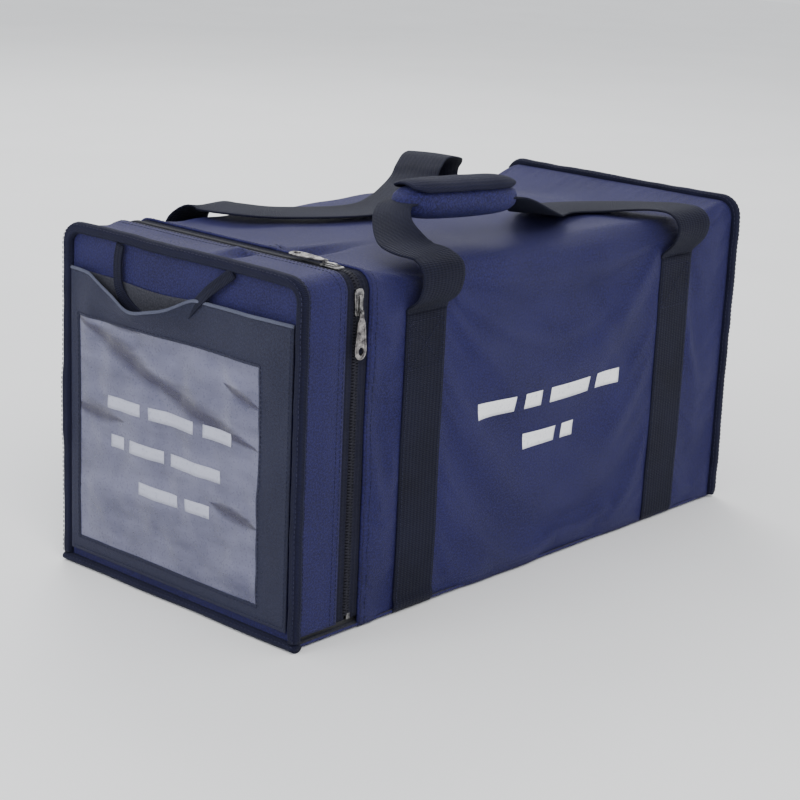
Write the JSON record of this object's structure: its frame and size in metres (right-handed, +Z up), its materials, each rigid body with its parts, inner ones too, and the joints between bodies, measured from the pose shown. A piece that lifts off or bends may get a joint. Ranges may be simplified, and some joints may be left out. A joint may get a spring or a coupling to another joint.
{
  "type": "cash deposit bag",
  "caption": "Box-shaped cloth cash deposit bag with a swing-down zip end flap, window pocket, webbing carry handles and padded grip.",
  "frame": {"origin": "middle of the footprint, on the surface that the bag stands on", "axes": "+X along the length towards the closed end, -X the zip end with the window pocket, -Y the marked face, +Z up"},
  "size_m": [0.6, 0.323, 0.3519],
  "materials": {
    "nylon": "woven nylon, slightly glossy",
    "webbing": "ribbed webbing, matte",
    "binding": "grosgrain tape, matte",
    "board": "stiffening board, matte",
    "zip_tape": "knitted tape, matte",
    "teeth": "moulded coil, satin",
    "zip_metal": "plated, worn",
    "print": "screen print, matte",
    "pocket_cloth": "coated cloth, satin",
    "window_film": "clear film, hazy",
    "pocket_trim": "edge tape, matte",
    "foam": "closed-cell foam",
    "hook_loop": "hook and loop, matte"
  },
  "bodies": {
    "bag": {"bottom_panel": "nylon", "base_board": "board", "body_wrap": "nylon", "fixed_end_panel": "nylon", "fixed_end_board": "board", "fixed_end_binding": "binding", "hinge_binding": "binding", "left_carry_strap": "webbing", "right_carry_strap": "webbing", "body_zip_tape": "zip_tape", "body_zip_teeth": "teeth", "zip_stops": "zip_metal", "front_mark": "print"},
    "end_flap": {"flap_panel": "nylon", "flap_board": "board", "flap_gusset": "nylon", "flap_binding": "binding", "flap_zip_tape": "zip_tape", "flap_zip_teeth": "teeth", "pocket_frame": "pocket_cloth", "pocket_window": "window_film", "pocket_trim": "pocket_trim", "window_mark": "print"},
    "end_handle": {"end_handle": "webbing"},
    "front_slider": {"front_slider": "zip_metal"},
    "front_pull": {"front_pull": "zip_metal"},
    "top_slider": {"top_slider": "zip_metal"},
    "top_pull": {"top_pull": "zip_metal"},
    "front_handle": {"front_handle": "webbing", "grip_foam": "foam", "grip_sleeve": "nylon", "grip_loop_tape": "hook_loop"},
    "grip_flap": {"grip_flap": "binding", "grip_hook_tape": "hook_loop"},
    "rear_handle": {"rear_handle": "webbing"}
  },
  "joints": [
    {"name": "end_flap_hinge", "type": "hinge", "parent": "bag", "child": "end_flap", "pos_m": [-0.3, 0, 0.0075], "axis": [0, -1, 0], "range_deg": [0, 90]},
    {"name": "end_handle_swing", "type": "hinge", "parent": "end_flap", "child": "end_handle", "pos_m": [-0.2985, 0, 0.2915], "axis": [0, 1, 0], "range_deg": [0, 100]},
    {"name": "front_slider_travel", "type": "slide", "parent": "bag", "child": "front_slider", "axis": [0, 0, -1], "range_m": [0, 0.228]},
    {"name": "front_pull_swing", "type": "hinge", "parent": "front_slider", "child": "front_pull", "pos_m": [-0.233, -0.1424, 0.268], "axis": [-1, 0, 0], "range_deg": [0, 170]},
    {"name": "top_slider_travel", "type": "slide", "parent": "bag", "child": "top_slider", "axis": [0, 1, 0], "range_m": [0, 0.22]},
    {"name": "top_pull_swing", "type": "hinge", "parent": "top_slider", "child": "top_pull", "pos_m": [-0.233, -0.101, 0.3024], "axis": [1, 0, 0], "range_deg": [0, 170]},
    {"name": "front_handle_swing", "type": "hinge", "parent": "bag", "child": "front_handle", "pos_m": [0, -0.1405, 0.2578], "axis": [1, 0, 0], "range_deg": [0, 100]},
    {"name": "grip_flap_hinge", "type": "hinge", "parent": "front_handle", "child": "grip_flap", "pos_m": [-0.0558, -0.07835, 0.3505], "axis": [-0.9895, 0.1425, 0.0237], "range_deg": [0, 150]},
    {"name": "rear_handle_swing", "type": "hinge", "parent": "bag", "child": "rear_handle", "pos_m": [0, 0.1405, 0.2578], "axis": [-1, 0, 0], "range_deg": [0, 100]}
  ]
}
